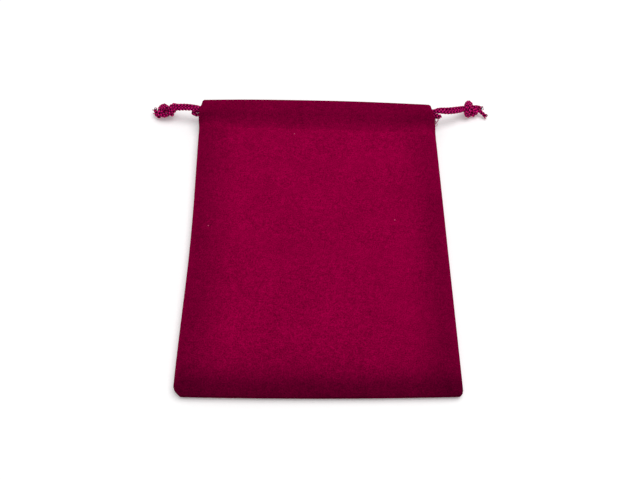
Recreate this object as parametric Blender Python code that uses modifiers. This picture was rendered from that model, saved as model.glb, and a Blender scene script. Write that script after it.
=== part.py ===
"""Velour gift pouch with a double drawstring, lying flat on its back panel.

Metres. X runs across the pouch, +Y towards its mouth, +Z up. The origin is on the
surface that the pouch lies on, below the middle of its cloth.
"""
import math

import bmesh
import bpy
from mathutils import Vector

MM = 0.001

# Driving dimensions.
BAG_WIDTH = 127.6 * MM       # mean width over the two side seams
BAG_LENGTH = 176.5 * MM      # bottom seam to the mouth, at the mouth's left end
CLOTH = 0.7 * MM             # thickness of the velour
BODY_HEIGHT = 8.8 * MM       # top of the front panel above the table, halfway up
MOUTH_GAP = 4.4 * MM         # clear height between the two casings
CASING_DEPTH = 20.8 * MM     # mouth fold to the stitch line, at the left end
CORD = 2.2 * MM              # diameter of a drawcord
THREAD = 0.3 * MM            # diameter of the sewing thread
CLEARANCE = 0.3 * MM         # left between pieces that touch on the real pouch

# The shape of the sewn outline.
MOUTH_DROP = 4.6 * MM        # the mouth's right end lies this much lower
STITCH_DROP = 2.3 * MM       # and the stitch line's right end this much
MOUTH_BOW = 1.4 * MM         # the mouth fold rises between its ends
BOTTOM_BOW = 0.9 * MM        # the bottom seam rises towards the corners
EDGE_FLARE = 0.65 * MM       # how far the side seams wander from straight
CORNER_CUT = 3.4 * MM        # the rounding of the two bottom corners
MOUTH_CORNER_PULL = 2.2 * MM  # the casing's ends are drawn in at the mouth
EDGE_ROLL = 8.0 * MM         # how far in from a seam the cloth starts to roll down
SIDE_SLIT = 10.0 * MM        # above the stitch line, the rolled edge opens out in this length

# Places that follow from them.
HALF_WIDTH = BAG_WIDTH / 2
HALF_LENGTH = BAG_LENGTH / 2
CASING_LIFT = CORD + 2 * CLEARANCE + CLOTH      # between the middles of a casing's two layers
STITCH_LIFT = THREAD + 2 * CLEARANCE + CLOTH    # the same where the thread runs between them
BACK_Z = CLOTH / 2
FRONT_FLAP_Z = BACK_Z + CASING_LIFT + CLOTH + MOUTH_GAP
FRONT_CASING_Z = FRONT_FLAP_Z + CASING_LIFT
FRONT_STITCH_Z = FRONT_FLAP_Z + STITCH_LIFT
FRONT_BODY_Z = BODY_HEIGHT - CLOTH / 2
SEAM_Z = BODY_HEIGHT / 2
SEAM_GAP = THREAD / 2 + CLEARANCE               # from the seam thread's middle to each panel's edge
FOLD_RADIUS = CASING_LIFT / 2
LANE_PITCH = CORD + 0.5 * MM                    # between the two cords in a casing
UPPER_LANE = CLOTH / 2 + FOLD_RADIUS + CLEARANCE  # below the mouth fold
LOWER_LANE = UPPER_LANE + LANE_PITCH
BACK_CORD_Z = BACK_Z + CASING_LIFT / 2
FRONT_CORD_Z = FRONT_CASING_Z - CASING_LIFT / 2

# How finely the cloth is divided.
ROLL_STEPS = 4
WIDTH_STEPS = 14
BODY_STEPS = 12
CASING_STEPS = 5
FOLD_STEPS = 4
FLAP_STEPS = 4
CUT_BACK_STEPS = 1           # flat columns at each end that the turned-in flap doesn't reach

COLUMNS = 2 * ROLL_STEPS + WIDTH_STEPS
STITCH_ROW = ROLL_STEPS + BODY_STEPS
FOLD_ROW = STITCH_ROW + CASING_STEPS
FLAP_ROW = FOLD_ROW + FOLD_STEPS
ROWS = FLAP_ROW + FLAP_STEPS

VELOUR = ((0.27, 0.0, 0.035), 0.85)
CORD_SATIN = ((0.33, 0.005, 0.10), 0.45)
SEWING = ((0.30, 0.005, 0.06), 0.6)


def smooth(t):
    """0 to 1 with level ends."""
    t = min(1.0, max(0.0, t))
    return t * t * (3 - 2 * t)


def mix(a, b, t):
    return a + (b - a) * t


def mouth_line(x):
    """The straight line along the mouth, which the cords run parallel to."""
    return HALF_LENGTH - MOUTH_DROP * (x + HALF_WIDTH) / BAG_WIDTH


def mouth_fold(x):
    """Top of the mouth fold, which bows up from the mouth line."""
    bow = MOUTH_BOW * max(0.0, 1 - (x / HALF_WIDTH) ** 2)
    return mouth_line(x) + bow


def stitch_line(x):
    return HALF_LENGTH - CASING_DEPTH - STITCH_DROP * (x + HALF_WIDTH) / BAG_WIDTH


def bottom_seam(x):
    return -HALF_LENGTH + BOTTOM_BOW * (x / HALF_WIDTH) ** 2


def side_seams(y):
    """X of the left and right seams: the left one has a waist, the right one tapers upwards."""
    up = (y + HALF_LENGTH) / BAG_LENGTH
    left = -HALF_WIDTH - EDGE_FLARE * math.cos(2 * math.pi * up)
    right = HALF_WIDTH + EDGE_FLARE * (1 - 2 * up)
    return left, right


def round_corner(x, y):
    """Moves a point near a bottom corner inwards, so that the corner is cut off."""
    left, right = side_seams(y)
    from_bottom = y - bottom_seam(x)
    for edge, inward in ((left, 1), (right, -1)):
        from_side = (x - edge) * inward
        short = CORNER_CUT - from_side - from_bottom
        if short > 0:
            x += inward * short / 2
            y += short / 2
    return x, y


def across(column, y, inset):
    """X of a column of the cloth at height y, and how far it has risen from the seam, 0 to 1."""
    left, right = side_seams(y)
    left += CLOTH / 2 + inset
    right -= CLOTH / 2 + inset
    steps_in = min(column, COLUMNS - column)
    if steps_in < ROLL_STEPS:
        angle = math.pi / 2 * steps_in / ROLL_STEPS
        offset = EDGE_ROLL * (1 - math.cos(angle))
        x = left + offset if column < ROLL_STEPS else right - offset
        return x, math.sin(angle)
    t = (column - ROLL_STEPS) / WIDTH_STEPS
    return mix(left + EDGE_ROLL, right - EDGE_ROLL, t), 1.0


def flat_column(column):
    """X of a column, near enough to place a row on the mouth or stitch line."""
    return across(column, 0.0, 0.0)[0]


def body_row(column, row):
    """Y of a row below the stitch line, and how far it has risen from the bottom seam."""
    x = flat_column(column)
    low = bottom_seam(x) + CLOTH / 2
    if row < ROLL_STEPS:
        angle = math.pi / 2 * row / ROLL_STEPS
        return low + EDGE_ROLL * (1 - math.cos(angle)), math.sin(angle)
    t = (row - ROLL_STEPS) / BODY_STEPS
    return mix(low + EDGE_ROLL, stitch_line(x), t), 1.0


def casing_row(column, row):
    """Y of a row above the stitch line, and where it is between the two layers, 0 outer to 1 flap."""
    x = flat_column(column)
    stitch = stitch_line(x)
    fold_middle = mouth_fold(x) - CLOTH / 2 - FOLD_RADIUS
    if row <= FOLD_ROW:
        return mix(stitch, fold_middle, (row - STITCH_ROW) / CASING_STEPS), 0.0
    if row < FLAP_ROW:
        angle = math.pi * (row - FOLD_ROW) / FOLD_STEPS
        return fold_middle + FOLD_RADIUS * math.sin(angle), (1 - math.cos(angle)) / 2
    return mix(fold_middle, stitch, (row - FLAP_ROW) / FLAP_STEPS), 1.0


def layers(x, y, is_front):
    """Heights of a panel's outer layer and of its flap, at the middle of the cloth."""
    stitch = stitch_line(x)
    channel = mouth_fold(x) - LOWER_LANE - CORD
    opened = smooth((y - stitch) / (channel - stitch))
    lift = mix(STITCH_LIFT, CASING_LIFT, opened)
    if is_front:
        return FRONT_FLAP_Z + lift, FRONT_FLAP_Z
    return BACK_Z, BACK_Z + lift


def panel_point(column, row, is_front):
    """Where a corner of the panel's grid lies, at the middle of the cloth."""
    edge_z = SEAM_Z + SEAM_GAP if is_front else SEAM_Z - SEAM_GAP
    if row <= STITCH_ROW:
        y, row_rise = body_row(column, row)
        x, column_rise = across(column, y, 0.0)
        x, y = round_corner(x, y)
        up = (y + HALF_LENGTH / 4) / (stitch_line(x) + HALF_LENGTH / 4)
        top = mix(FRONT_BODY_Z, FRONT_STITCH_Z, smooth(up)) if is_front else BACK_Z
        return Vector((x, y, mix(edge_z, top, row_rise * column_rise)))
    y, between = casing_row(column, row)
    pull = MOUTH_CORNER_PULL * smooth((y - stitch_line(0.0) - SIDE_SLIT) / (CASING_DEPTH - SIDE_SLIT))
    x, column_rise = across(column, y, pull)
    outer, flap = layers(x, y, is_front)
    still_rolled = 1 - smooth((y - stitch_line(x)) / SIDE_SLIT)
    outer = mix(outer, edge_z, still_rolled * (1 - column_rise))
    return Vector((x, y, mix(outer, flap, between)))


def material(name, finish):
    colour, roughness = finish
    made = bpy.data.materials.new(name)
    made.use_nodes = True
    shader = made.node_tree.nodes["Principled BSDF"]
    shader.inputs["Base Color"].default_value = (*colour, 1.0)
    shader.inputs["Roughness"].default_value = roughness
    shader.inputs["Metallic"].default_value = 0.0
    return made


def add_object(name, data, finish, collection, parent):
    made = bpy.data.objects.new(name, data)
    data.materials.append(material(name, finish))
    made.parent = parent
    collection.objects.link(made)
    return made


def make_panel(name, is_front, collection, parent):
    """One cut of velour: body, casing, mouth fold and turned-in flap."""
    mesh = bpy.data.meshes.new(name)
    cloth = bmesh.new()
    bmesh.ops.create_grid(cloth, x_segments=COLUMNS, y_segments=ROWS, size=1.0)
    place = {}
    for vertex in cloth.verts:
        column = round((vertex.co.x + 1) / 2 * COLUMNS)
        row = round((vertex.co.y + 1) / 2 * ROWS)
        place[vertex] = (column, row)
    cut_back = ROLL_STEPS + CUT_BACK_STEPS
    doomed = []
    for face in cloth.faces:
        columns = [place[vertex][0] for vertex in face.verts]
        rows = [place[vertex][1] for vertex in face.verts]
        at_end = max(columns) <= cut_back or min(columns) >= COLUMNS - cut_back
        if at_end and min(rows) >= FOLD_ROW + FOLD_STEPS // 2:
            doomed.append(face)
    for vertex in cloth.verts:
        vertex.co = panel_point(*place[vertex], is_front)
    bmesh.ops.delete(cloth, geom=doomed, context="FACES")
    if not is_front:
        bmesh.ops.reverse_faces(cloth, faces=cloth.faces)
    cloth.to_mesh(mesh)
    cloth.free()
    mesh.shade_smooth()
    panel = add_object(name, mesh, VELOUR, collection, parent)
    solid = panel.modifiers.new("cloth thickness", "SOLIDIFY")
    solid.thickness = CLOTH
    solid.offset = 0.0
    return panel


def smooth_route(points, spacing):
    """Points about a spacing apart on a smooth curve through the given ones."""
    ends = [2 * points[0] - points[1]] + list(points) + [2 * points[-1] - points[-2]]
    route = [points[0]]
    for before, start, end, after in zip(ends, ends[1:], ends[2:], ends[3:]):
        steps = max(1, round((end - start).length / spacing))
        for step in range(1, steps + 1):
            t = step / steps
            route.append(0.5 * (2 * start + (end - before) * t
                                + (2 * before - 5 * start + 4 * end - after) * t ** 2
                                + (3 * start - before - 3 * end + after) * t ** 3))
    return route


def make_tube(name, points, diameter, finish, collection, parent, resolution=2, spacing=None):
    """A round cord or thread along a smooth route through the points."""
    curve = bpy.data.curves.new(name, "CURVE")
    curve.dimensions = "3D"
    curve.bevel_depth = diameter / 2
    curve.bevel_resolution = resolution
    curve.use_fill_caps = True
    route = smooth_route(points, spacing or 2.5 * diameter)
    spline = curve.splines.new("POLY")
    spline.points.add(len(route) - 1)
    for control, point in zip(spline.points, route):
        control.co = (*point, 1.0)
    return add_object(name, curve, finish, collection, parent)


def make_hem_thread(name, is_front, collection, parent):
    """The line of stitching between a casing's two layers."""
    half = HALF_WIDTH - EDGE_ROLL - 1.5 * MM
    inside = 1.2 * MM
    points = []
    for step in range(13):
        x = mix(-half, half, step / 12)
        y = stitch_line(x) + inside
        outer, flap = layers(x, y, is_front)
        points.append(Vector((x, y, (outer + flap) / 2)))
    return make_tube(name, points, THREAD, SEWING, collection, parent, 1, 12 * MM)


def make_seam_thread(collection, parent):
    """The seam's stitching: down the left side, along the bottom and up the right side."""
    inset = CLOTH / 2
    top = min(stitch_line(-HALF_WIDTH), stitch_line(HALF_WIDTH)) - 1 * MM
    low = -HALF_LENGTH + BOTTOM_BOW
    heights = [mix(top, low, step / 14) for step in range(15)]
    points = [Vector((side_seams(y)[0] + inset, y, SEAM_Z)) for y in heights]
    width = HALF_WIDTH + EDGE_FLARE - inset
    for step in range(1, 14):
        x = mix(-width, width, step / 14)
        points.append(Vector((x, bottom_seam(x) + inset, SEAM_Z)))
    points += [Vector((side_seams(y)[1] - inset, y, SEAM_Z)) for y in reversed(heights)]
    for point in points:
        point.x, point.y = round_corner(point.x, point.y)
    return make_tube("seam_thread", points, THREAD, SEWING, collection, parent, 1, 12 * MM)


def strand_points(side, places):
    """A strand's points outside the casing: out from the side, below the mouth line, height."""
    points = []
    for out, below, z in places:
        x = side * (HALF_WIDTH + out)
        points.append(Vector((x, mouth_line(x) - below, z)))
    return points


def lane_points(side, below, z):
    """A cord's straight run through a casing, from its own side to the other."""
    half = HALF_WIDTH - 16 * MM
    return [Vector((side * x, mouth_line(side * x) - below, z)) for x in (half, 0.0, -half)]


def cord_route(side, below, front_strand, bight, back_strand):
    """Knot, front strand, front casing, bight round the far end, back casing, back strand, knot."""
    return (strand_points(side, front_strand)
            + lane_points(side, below, FRONT_CORD_Z)
            + strand_points(-side, bight)
            + list(reversed(lane_points(side, below, BACK_CORD_Z)))
            + strand_points(side, back_strand))


# Each cord's points past the casing's end. The bights are held, the strands lie free.
LEFT_FRONT_STRAND = [(15.2 * MM, 3.2 * MM, 6.4 * MM), (12.4 * MM, 3.7 * MM, 8.2 * MM),
                     (8.6 * MM, 4.4 * MM, 9.7 * MM), (4.8 * MM, 4.9 * MM, 10.3 * MM),
                     (0.5 * MM, LOWER_LANE, 10.5 * MM), (-8.0 * MM, LOWER_LANE, FRONT_CORD_Z)]
LEFT_BACK_STRAND = [(-11.5 * MM, LOWER_LANE, 2.9 * MM), (-7.0 * MM, LOWER_LANE, 5.6 * MM),
                    (-3.4 * MM, 4.5 * MM, 7.8 * MM), (0.5 * MM, 2.9 * MM, 8.9 * MM),
                    (4.8 * MM, 2.2 * MM, 9.5 * MM), (8.6 * MM, 1.8 * MM, 8.9 * MM),
                    (12.4 * MM, 1.0 * MM, 7.2 * MM), (15.2 * MM, 0.8 * MM, 5.4 * MM)]
RIGHT_FRONT_STRAND = [(16.1 * MM, -2.2 * MM, 6.1 * MM), (12.8 * MM, 0.3 * MM, 7.7 * MM),
                      (7.0 * MM, 2.2 * MM, 9.2 * MM), (1.0 * MM, UPPER_LANE, 10.2 * MM),
                      (-8.0 * MM, UPPER_LANE, FRONT_CORD_Z)]
RIGHT_BACK_STRAND = [(-11.5 * MM, UPPER_LANE, 2.9 * MM), (-7.0 * MM, UPPER_LANE, 5.2 * MM),
                     (-3.4 * MM, 1.9 * MM, 7.1 * MM), (1.0 * MM, -0.1 * MM, 8.6 * MM),
                     (7.0 * MM, -0.5 * MM, 8.7 * MM), (12.8 * MM, -2.7 * MM, 6.8 * MM),
                     (16.1 * MM, -5.1 * MM, 4.8 * MM)]
# The right cord's bight is at the left and lies low; the left cord's, at the right, lies high.
LEFT_SIDE_BIGHT = [(-12.5 * MM, UPPER_LANE, 9.7 * MM), (-7.5 * MM, UPPER_LANE, 7.2 * MM),
                   (-2.5 * MM, UPPER_LANE, 6.0 * MM), (2.0 * MM, UPPER_LANE, 5.7 * MM),
                   (3.7 * MM, UPPER_LANE, 4.0 * MM), (2.0 * MM, UPPER_LANE, 2.4 * MM),
                   (-3.0 * MM, UPPER_LANE, BACK_CORD_Z)]
RIGHT_SIDE_BIGHT = [(-3.0 * MM, LOWER_LANE, FRONT_CORD_Z), (1.6 * MM, LOWER_LANE, 10.3 * MM),
                    (3.3 * MM, LOWER_LANE, 8.5 * MM), (1.8 * MM, LOWER_LANE, 6.6 * MM),
                    (-2.5 * MM, LOWER_LANE, 6.2 * MM), (-7.5 * MM, LOWER_LANE, 4.9 * MM),
                    (-12.5 * MM, LOWER_LANE, 2.9 * MM)]

# Knots: middle out from the side, below the mouth line, height; then half sizes.
LEFT_KNOT = ((19.9 * MM, 3.0 * MM, 4.75 * MM), (4.4 * MM, 4.6 * MM, 4.6 * MM))
RIGHT_KNOT = ((20.9 * MM, -4.9 * MM, 4.6 * MM), (4.0 * MM, 4.4 * MM, 4.4 * MM))
LEFT_TAILS = [[(24.5 * MM, 2.0 * MM, 4.6 * MM), (25.9 * MM, 1.6 * MM, 4.0 * MM), (27.3 * MM, 1.4 * MM, 3.4 * MM)],
              [(24.3 * MM, 4.6 * MM, 3.8 * MM), (25.5 * MM, 4.4 * MM, 3.1 * MM), (26.6 * MM, 4.2 * MM, 2.4 * MM)]]
RIGHT_TAILS = [[(25.1 * MM, -5.4 * MM, 5.0 * MM), (26.3 * MM, -5.3 * MM, 5.1 * MM), (27.5 * MM, -5.4 * MM, 5.0 * MM)],
               [(24.5 * MM, -3.2 * MM, 2.5 * MM), (26.8 * MM, -2.8 * MM, 2.1 * MM), (29.2 * MM, -2.6 * MM, 1.8 * MM)]]


def make_knot(name, side, knot, collection, parent):
    """The outer shape of a two-strand overhand knot: a squat ball with three wraps."""
    middle, half_sizes = knot
    ball = bmesh.new()
    bmesh.ops.create_uvsphere(ball, u_segments=16, v_segments=11, radius=1.0)
    for vertex in ball.verts:
        wraps = 1 - 0.05 * (1 - math.cos(3 * math.pi * vertex.co.x + vertex.co.z))
        vertex.co = Vector((vertex.co.x * half_sizes[0],
                            vertex.co.y * half_sizes[1] * wraps,
                            vertex.co.z * half_sizes[2] * wraps))
    mesh = bpy.data.meshes.new(name)
    ball.to_mesh(mesh)
    ball.free()
    mesh.shade_smooth()
    made = add_object(name, mesh, CORD_SATIN, collection, parent)
    made.location = strand_points(side, [middle])[0]
    return made


def make_cord(name, side, route, knot, tails, collection):
    """A drawcord with its knot and two cut ends, on an empty at its own end of the mouth."""
    pull = bpy.data.objects.new(name + "_pull", None)
    collection.objects.link(pull)
    make_tube(name + "_drawcord", route, CORD, CORD_SATIN, collection, pull)
    make_knot(name + "_knot", side, knot, collection, pull)
    for letter, tail in zip("ab", tails):
        points = strand_points(side, tail)
        make_tube(name + "_tail_" + letter, points, CORD, CORD_SATIN, collection, pull)


def main():
    for old in list(bpy.data.objects):
        bpy.data.objects.remove(old, do_unlink=True)
    pouch = bpy.data.collections.new("gift_pouch")
    bpy.context.scene.collection.children.link(pouch)
    cloth = bpy.data.objects.new("pouch_cloth", None)
    pouch.objects.link(cloth)

    make_panel("back_panel", False, pouch, cloth)
    make_panel("front_panel", True, pouch, cloth)
    make_hem_thread("back_hem_thread", False, pouch, cloth)
    make_hem_thread("front_hem_thread", True, pouch, cloth)
    make_seam_thread(pouch, cloth)

    left = cord_route(-1, LOWER_LANE, LEFT_FRONT_STRAND, RIGHT_SIDE_BIGHT, LEFT_BACK_STRAND)
    right = cord_route(1, UPPER_LANE, RIGHT_FRONT_STRAND, LEFT_SIDE_BIGHT, RIGHT_BACK_STRAND)
    make_cord("left", -1, left, LEFT_KNOT, LEFT_TAILS, pouch)
    make_cord("right", 1, right, RIGHT_KNOT, RIGHT_TAILS, pouch)


main()
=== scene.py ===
"""Looks of a velour gift pouch that lies flat on a white table, its two drawcords knotted at the sides.

Row frame, metres: X across the pouch, +Y towards its mouth, +Z up, the table at zero.
"""
import math

import bmesh
import bpy
import numpy as np
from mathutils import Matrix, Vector


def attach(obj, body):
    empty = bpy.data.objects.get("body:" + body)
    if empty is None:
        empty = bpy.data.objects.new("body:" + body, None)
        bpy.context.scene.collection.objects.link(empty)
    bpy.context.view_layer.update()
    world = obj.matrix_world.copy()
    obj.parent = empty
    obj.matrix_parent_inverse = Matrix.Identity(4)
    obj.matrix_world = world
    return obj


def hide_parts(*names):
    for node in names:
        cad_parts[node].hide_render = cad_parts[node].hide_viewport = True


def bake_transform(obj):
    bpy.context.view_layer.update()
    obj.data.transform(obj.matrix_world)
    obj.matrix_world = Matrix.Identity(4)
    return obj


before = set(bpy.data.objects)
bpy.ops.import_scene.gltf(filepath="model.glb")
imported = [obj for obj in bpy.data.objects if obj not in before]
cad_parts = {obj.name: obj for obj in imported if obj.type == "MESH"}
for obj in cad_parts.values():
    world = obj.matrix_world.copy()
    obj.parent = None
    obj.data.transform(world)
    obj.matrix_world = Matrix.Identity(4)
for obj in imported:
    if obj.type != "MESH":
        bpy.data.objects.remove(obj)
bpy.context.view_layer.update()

MM = 0.001

# The pouch, as in the CAD.
BAG_WIDTH = 127.6 * MM
BAG_LENGTH = 176.5 * MM
CLOTH = 0.7 * MM
BODY_HEIGHT = 8.8 * MM
MOUTH_GAP = 4.4 * MM
CASING_DEPTH = 20.8 * MM
CORD = 2.2 * MM
THREAD = 0.3 * MM
CLEARANCE = 0.3 * MM
MOUTH_DROP = 4.6 * MM
STITCH_DROP = 2.3 * MM
MOUTH_BOW = 1.4 * MM
BOTTOM_BOW = 0.9 * MM
EDGE_FLARE = 0.65 * MM
MOUTH_CORNER_PULL = 2.2 * MM
EDGE_ROLL = 8.0 * MM
SIDE_SLIT = 10.0 * MM
FLAP_CUT_BACK = 16 * MM      # the flap leaves this much clear at its ends

SIDES = {"left": -1, "right": 1}
HALF_WIDTH = BAG_WIDTH / 2
HALF_LENGTH = BAG_LENGTH / 2
CASING_LIFT = CORD + 2 * CLEARANCE + CLOTH
STITCH_LIFT = THREAD + 2 * CLEARANCE + CLOTH
BACK_Z = CLOTH / 2
FRONT_FLAP_Z = BACK_Z + CASING_LIFT + CLOTH + MOUTH_GAP
FRONT_CASING_Z = FRONT_FLAP_Z + CASING_LIFT
FRONT_STITCH_Z = FRONT_FLAP_Z + STITCH_LIFT
FRONT_BODY_Z = BODY_HEIGHT - CLOTH / 2
FOLD_RADIUS = CASING_LIFT / 2
LANE_PITCH = CORD + 0.5 * MM
UPPER_LANE = CLOTH / 2 + FOLD_RADIUS + CLEARANCE
LOWER_LANE = UPPER_LANE + LANE_PITCH
BACK_CORD_Z = BACK_Z + CASING_LIFT / 2
FRONT_CORD_Z = FRONT_CASING_Z - CASING_LIFT / 2

# How the cloth lies and is sewn, finer than in the CAD.
LEFT_CORNER_CUT = 5.0 * MM   # the rounding of the bottom corners, which the CAD makes alike
RIGHT_CORNER_CUT = 3.1 * MM
RIGHT_CORNER_PULL = 3.5 * MM     # the mouth's right end is drawn in by this, and its left end as in the CAD
SEAM_SAG = 3.0 * MM          # height of the side and bottom seams above the table
SEAM_IN = 1.05 * MM          # how far the bottom seam draws in as it sags
MOUTH_RISE = (0.15 * MM, 1.0 * MM)   # the fold stands above the CAD's by this, at the left and right end
HEM_SLANT = 1.15 * MM        # the stitching starts this far above the CAD's line at the left
HEM_FALL = 1.63              # and falls by this many times that over the width, so it ends below the line
HEM_RUN_UP = 3.3 * MM        # it climbs this far more in the last stitches before the left seam
HEM_RUN_UP_LENGTH = 7.3 * MM
BACK_ROLL = 3.0 * MM         # the back panel lies flat to this near its seams
TURN_RADIUS = 0.45 * MM      # of the cloth's turn into the seam or hem, at its middle
SEAM_ALLOWANCE = 4.5 * MM
OPEN_END_SHARE = 0.35        # of the allowance's width, which is left at the casing's open ends
RAW_EDGE = 5.0 * MM          # the flap runs this far past the stitch line
STITCH = 2.6 * MM            # from one needle hole to the next
GROOVE = 0.40 * MM           # how deep the stitching pulls the cloth in
GROOVE_WIDTH = 0.75 * MM
PUCKER = 0.10 * MM           # height of the little puckers beside the stitching
PUCKER_WIDTH = 4.5 * MM
SWELL = 0.16 * MM            # height of the slow unevenness of the front
RIGHT_PULL_START = 2 * MM    # the right side starts to draw in this far below the stitch line
RIGHT_PULL_POWER = 1.35
LAYER_GAP = 0.03 * MM        # left on each side of the seam's level
LEFT_SIDE_IN = 0.2 * MM      # the left seam is this far inside the CAD's
RIGHT_SIDE_OUT = 0.5 * MM    # the right seam is this far outside the CAD's at the bottom


def smooth(t):
    t = np.clip(t, 0.0, 1.0)
    return t * t * (3 - 2 * t)


def mix(a, b, t):
    return a + (b - a) * t


def mouth_line(x):
    return HALF_LENGTH - MOUTH_DROP * (x + HALF_WIDTH) / BAG_WIDTH


def mouth_fold(x):
    rise = mix(*MOUTH_RISE, (x + HALF_WIDTH) / BAG_WIDTH)
    return mouth_line(x) + rise + MOUTH_BOW * np.maximum(0.0, 1 - (x / HALF_WIDTH) ** 2)


def stitch_line(x):
    from_left = np.maximum(0.0, x + HALF_WIDTH)
    straight = HALF_LENGTH - CASING_DEPTH - STITCH_DROP * from_left / BAG_WIDTH
    slant = HEM_SLANT * (1 - HEM_FALL * from_left / BAG_WIDTH)
    return straight + slant + HEM_RUN_UP * np.exp(-from_left / HEM_RUN_UP_LENGTH)


def bottom_seam(x):
    return -HALF_LENGTH + BOTTOM_BOW * (x / HALF_WIDTH) ** 2


def side_seam(side, y):
    """X of the seam on one side."""
    up = (y + HALF_LENGTH) / BAG_LENGTH
    if side < 0:
        return -HALF_WIDTH + LEFT_SIDE_IN - EDGE_FLARE * np.cos(2 * np.pi * up)
    return HALF_WIDTH + RIGHT_SIDE_OUT * (1 - up) + EDGE_FLARE * (1 - 2 * up)


# ---------------------------------------------------------------- mesh helpers

def add_mesh(name, points, faces, material, smooth_shading=True):
    mesh = bpy.data.meshes.new(name)
    mesh.from_pydata(np.asarray(points).tolist(), [], faces)
    mesh.materials.append(material)
    if smooth_shading:
        mesh.shade_smooth()
    made = bpy.data.objects.new(name, mesh)
    bpy.context.scene.collection.objects.link(made)
    return made


def grid_faces(rows, columns, first=0, around=False):
    """Quads between the points of a grid that is stored row by row."""
    row, column = np.meshgrid(np.arange(rows - 1), np.arange(columns if around else columns - 1),
                              indexing="ij")
    after = (column + 1) % columns
    here = first + row * columns
    quads = np.stack([here + column, here + after, here + columns + after, here + columns + column], -1)
    return quads.reshape(-1, 4).tolist()


def unit(vectors):
    return vectors / np.maximum(np.linalg.norm(vectors, axis=-1, keepdims=True), 1e-12)


def smooth_curve(points, steps):
    """A smooth curve through unevenly spaced points, with that many steps between each two."""
    points = np.asarray(points, float)
    gaps = np.diff(points, axis=0)
    length = np.linalg.norm(gaps, axis=1)[:, None]
    slope = gaps / length
    middle = (length[1:] * slope[:-1] + length[:-1] * slope[1:]) / (length[:-1] + length[1:])
    slopes = np.vstack([slope[:1], middle, slope[-1:]])
    t = (np.arange(steps) / steps)[None, :, None]
    start, end = points[:-1, None], points[1:, None]
    leave, arrive = (slopes[:-1] * length)[:, None], (slopes[1:] * length)[:, None]
    curve = (start * (1 - 3 * t ** 2 + 2 * t ** 3) + leave * (t - 2 * t ** 2 + t ** 3)
             + end * (3 * t ** 2 - 2 * t ** 3) + arrive * (t ** 3 - t ** 2))
    return np.vstack([curve.reshape(-1, 3), points[-1:]])


def lengths_along(points):
    return np.concatenate([[0.0], np.cumsum(np.linalg.norm(np.diff(points, axis=0), axis=1))])


def resample(points, count):
    along = lengths_along(points)
    places = np.linspace(0, along[-1], count)
    return np.stack([np.interp(places, along, points[:, axis]) for axis in range(3)], 1)


def frames_along(points):
    """Tangent and two cross directions at each point, which turn as little as they can."""
    tangent = unit(np.gradient(points, axis=0))
    across = np.zeros_like(points)
    guess = np.array([0.0, 0.0, 1.0])
    for index, direction in enumerate(tangent):
        guess = guess - direction * guess.dot(direction)
        guess = guess / np.linalg.norm(guess)
        across[index] = guess
    return tangent, across, np.cross(tangent, across)


def tube(points, radius, sides, first=0, flat=1.0, lean=None):
    """Rings and faces of a round or flattened tube. lean is the direction of its thin side."""
    tangent, thin, wide = frames_along(points)
    if lean is not None:
        thin = lean
        wide = unit(np.cross(tangent, lean))
    radius = np.broadcast_to(radius, len(points))[:, None, None]
    angle = np.arange(sides) / sides * 2 * np.pi
    cos, sin = np.cos(angle)[None, :, None], np.sin(angle)[None, :, None]
    around = cos * wide[:, None] + flat * sin * thin[:, None]
    rings = (points[:, None] + radius * around).reshape(-1, 3)
    faces = grid_faces(len(points), sides, first, around=True)
    last = first + (len(points) - 1) * sides
    faces.append(list(range(first + sides - 1, first - 1, -1)))
    faces.append(list(range(last, last + sides)))
    return rings, faces


def store(made, name, values):
    """Keeps a number per point with the mesh, which its material reads."""
    attribute = made.data.attributes.new(name, "FLOAT", "POINT")
    attribute.data.foreach_set("value", np.asarray(values, np.float32))


class Builder:
    """Collects tubes into one mesh."""

    def __init__(self):
        self.points = []
        self.faces = []
        self.painted_light = []
        self.count = 0

    def add_tube(self, points, radius, sides, flat=1.0, lean=None, painted_light=1.0):
        """The last argument is the painted shade or highlight of each ring: a factor on the material's own
        colour.
        """
        rings, faces = tube(points, radius, sides, self.count, flat, lean)
        self.painted_light.append(np.repeat(np.broadcast_to(painted_light, len(points)), sides))
        self.points.append(rings)
        self.faces += faces
        self.count += len(rings)

    def finish(self, name, material):
        made = add_mesh(name, np.vstack(self.points), self.faces, material)
        store(made, "painted_light", np.concatenate(self.painted_light))
        return made


# ---------------------------------------------------------------- materials

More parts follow.
